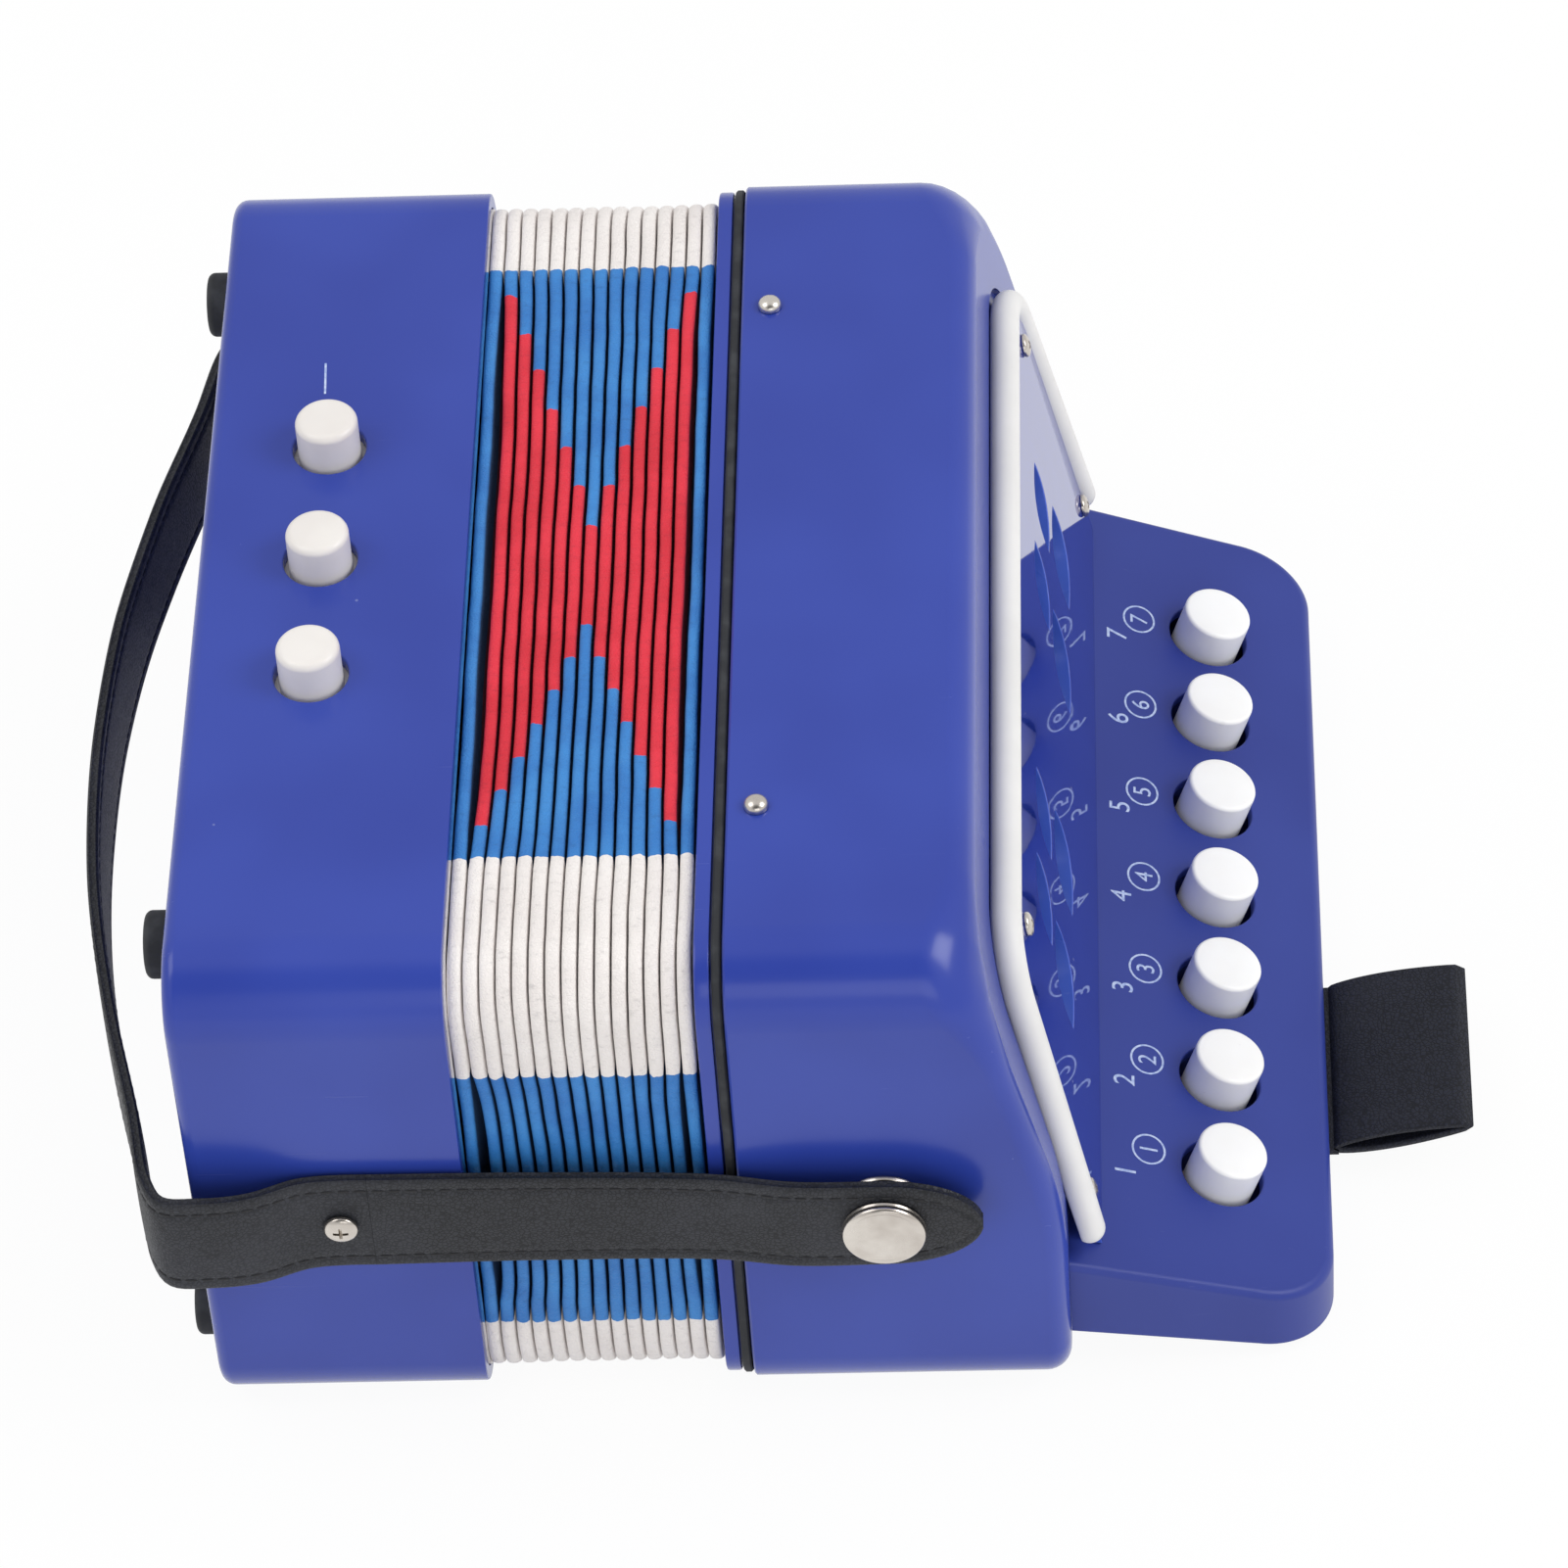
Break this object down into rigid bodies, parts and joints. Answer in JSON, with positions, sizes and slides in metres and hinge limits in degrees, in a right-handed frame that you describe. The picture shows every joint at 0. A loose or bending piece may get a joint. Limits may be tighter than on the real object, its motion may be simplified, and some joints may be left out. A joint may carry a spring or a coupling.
{
  "type": "button accordion",
  "caption": "Small button accordion: folded bellows between two plastic casings, sprung buttons on a tilted deck and on the bass front, hand strap, thumb loop and snap straps.",
  "frame": {"origin": "on the resting plane under the middle of the bounding box", "axes": "+X from the bass end to the keyboard, along the bellows; +Y along the rows of buttons; +Z out of the front, where the bass buttons are"},
  "size_m": [0.2188, 0.1944, 0.1057],
  "materials": {
    "casing_blue": "glossy moulded plastic",
    "deck_blue": "satin moulded plastic",
    "plate_blue": "mirror gloss sheet",
    "white_plastic": "glossy",
    "white_button": "polished",
    "black_rubber": "matte",
    "black_leather": "grained",
    "bellows_cloth": "glazed cloth over card",
    "nickel": "nickel plated",
    "silver_mesh": "woven mesh",
    "steel": "bright",
    "brass": "milled",
    "lever_wood": "bare",
    "board_wood": "bare"
  },
  "bodies": {
    "treble": {"treble_casing": "casing_blue", "treble_frame_plate": "casing_blue", "treble_gasket": "black_rubber", "bellows": "bellows_cloth", "grille_plate": "plate_blue", "grille_mesh": "silver_mesh", "grille_trim": "white_plastic", "grille_screw_1": "nickel", "grille_screw_2": "nickel", "grille_screw_3": "nickel", "grille_screw_4": "nickel", "casing_pin_1": "nickel", "casing_pin_2": "nickel", "casing_pin_3": "nickel", "casing_pin_4": "nickel", "keyboard_housing": "deck_blue", "keyboard_cover": "deck_blue", "key_axle": "steel", "key_spring_comb": "steel", "treble_sound_board": "board_wood", "treble_reed_plate": "brass", "thumb_loop": "black_leather", "snap_base_near": "nickel", "snap_base_far": "nickel"},
    "bass": {"bass_casing": "casing_blue", "bass_axle": "steel", "bass_spring_comb": "steel", "bass_sound_board": "board_wood", "bass_reed_plate": "brass", "foot_1": "black_rubber", "foot_2": "black_rubber", "foot_3": "black_rubber", "foot_4": "black_rubber", "hand_strap": "black_leather", "strap_screw_near": "nickel", "strap_screw_far": "nickel"},
    "strap_near": {"closing_strap_near": "black_leather", "snap_cap_near": "nickel"},
    "strap_far": {"closing_strap_far": "black_leather", "snap_cap_far": "nickel"},
    "key_1": {"treble_button_1": "white_button", "key_lever_1": "lever_wood"},
    "key_2": {"treble_button_2": "white_button", "key_lever_2": "lever_wood"},
    "key_3": {"treble_button_3": "white_button", "key_lever_3": "lever_wood"},
    "key_4": {"treble_button_4": "white_button", "key_lever_4": "lever_wood"},
    "key_5": {"treble_button_5": "white_button", "key_lever_5": "lever_wood"},
    "key_6": {"treble_button_6": "white_button", "key_lever_6": "lever_wood"},
    "key_7": {"treble_button_7": "white_button", "key_lever_7": "lever_wood"},
    "bass_push_1": {"bass_button_1": "white_button"},
    "bass_push_2": {"bass_button_2": "white_button"},
    "bass_push_3": {"bass_button_3": "white_button"},
    "bass_rocker_1": {"bass_lever_1": "lever_wood"},
    "bass_rocker_2": {"bass_lever_2": "lever_wood"},
    "bass_rocker_3": {"bass_lever_3": "lever_wood"}
  },
  "joints": [
    {"name": "bellows_slide", "type": "slide", "parent": "treble", "child": "bass", "axis": [-1, 0, 0], "range_m": [0, 0.15], "deforming": ["bellows"]},
    {"name": "closing_strap_near_hinge", "type": "hinge", "parent": "bass", "child": "strap_near", "pos_m": [-0.06032, -0.0925, 0.0483], "axis": [0, 0, -1], "range_deg": [0, 100]},
    {"name": "closing_strap_far_hinge", "type": "hinge", "parent": "bass", "child": "strap_far", "pos_m": [-0.06032, 0.0925, 0.0483], "axis": [0, 0, 1], "range_deg": [0, 100]},
    {"name": "key_1_press", "type": "hinge", "parent": "treble", "child": "key_1", "pos_m": [0.02661, -0.0588, 0.02519], "axis": [0, 1, 0], "range_deg": [0, 3.7], "stiffness_Nm_per_rad": 0.08, "springref_deg": -17.19, "deforming": ["key_spring_comb"]},
    {"name": "key_2_press", "type": "hinge", "parent": "treble", "child": "key_2", "pos_m": [0.02661, -0.0392, 0.02519], "axis": [0, 1, 0], "range_deg": [0, 3.7], "stiffness_Nm_per_rad": 0.08, "springref_deg": -17.19, "deforming": ["key_spring_comb"]},
    {"name": "key_3_press", "type": "hinge", "parent": "treble", "child": "key_3", "pos_m": [0.02661, -0.0196, 0.02519], "axis": [0, 1, 0], "range_deg": [0, 3.7], "stiffness_Nm_per_rad": 0.08, "springref_deg": -17.19, "deforming": ["key_spring_comb"]},
    {"name": "key_4_press", "type": "hinge", "parent": "treble", "child": "key_4", "pos_m": [0.02661, 0, 0.02519], "axis": [0, 1, 0], "range_deg": [0, 3.7], "stiffness_Nm_per_rad": 0.08, "springref_deg": -17.19, "deforming": ["key_spring_comb"]},
    {"name": "key_5_press", "type": "hinge", "parent": "treble", "child": "key_5", "pos_m": [0.02661, 0.0196, 0.02519], "axis": [0, 1, 0], "range_deg": [0, 3.7], "stiffness_Nm_per_rad": 0.08, "springref_deg": -17.19, "deforming": ["key_spring_comb"]},
    {"name": "key_6_press", "type": "hinge", "parent": "treble", "child": "key_6", "pos_m": [0.02661, 0.0392, 0.02519], "axis": [0, 1, 0], "range_deg": [0, 3.7], "stiffness_Nm_per_rad": 0.08, "springref_deg": -17.19, "deforming": ["key_spring_comb"]},
    {"name": "key_7_press", "type": "hinge", "parent": "treble", "child": "key_7", "pos_m": [0.02661, 0.0588, 0.02519], "axis": [0, 1, 0], "range_deg": [0, 3.7], "stiffness_Nm_per_rad": 0.08, "springref_deg": -17.19, "deforming": ["key_spring_comb"]},
    {"name": "bass_1_press", "type": "slide", "parent": "bass", "child": "bass_push_1", "axis": [0, 0, -1], "range_m": [0, 0.003], "stiffness_N_per_m": 150, "springref_m": -0.004},
    {"name": "bass_2_press", "type": "slide", "parent": "bass", "child": "bass_push_2", "axis": [0, 0, -1], "range_m": [0, 0.003], "stiffness_N_per_m": 150, "springref_m": -0.004},
    {"name": "bass_3_press", "type": "slide", "parent": "bass", "child": "bass_push_3", "axis": [0, 0, -1], "range_m": [0, 0.003], "stiffness_N_per_m": 150, "springref_m": -0.004},
    {"name": "bass_1_rock", "type": "hinge", "parent": "bass", "child": "bass_rocker_1", "pos_m": [-0.08202, -0.0248, 0.086], "axis": [0, 1, 0], "range_deg": [0, 12.8], "deforming": ["bass_spring_comb"]},
    {"name": "bass_2_rock", "type": "hinge", "parent": "bass", "child": "bass_rocker_2", "pos_m": [-0.08202, 0, 0.086], "axis": [0, 1, 0], "range_deg": [0, 12.8], "deforming": ["bass_spring_comb"]},
    {"name": "bass_3_rock", "type": "hinge", "parent": "bass", "child": "bass_rocker_3", "pos_m": [-0.08202, 0.0248, 0.086], "axis": [0, 1, 0], "range_deg": [0, 12.8], "deforming": ["bass_spring_comb"]}
  ],
  "couplings": [
    {"joint": "bass_1_rock", "follows": "bass_1_press", "rad_per_m": 74},
    {"joint": "bass_2_rock", "follows": "bass_2_press", "rad_per_m": 74},
    {"joint": "bass_3_rock", "follows": "bass_3_press", "rad_per_m": 74}
  ]
}
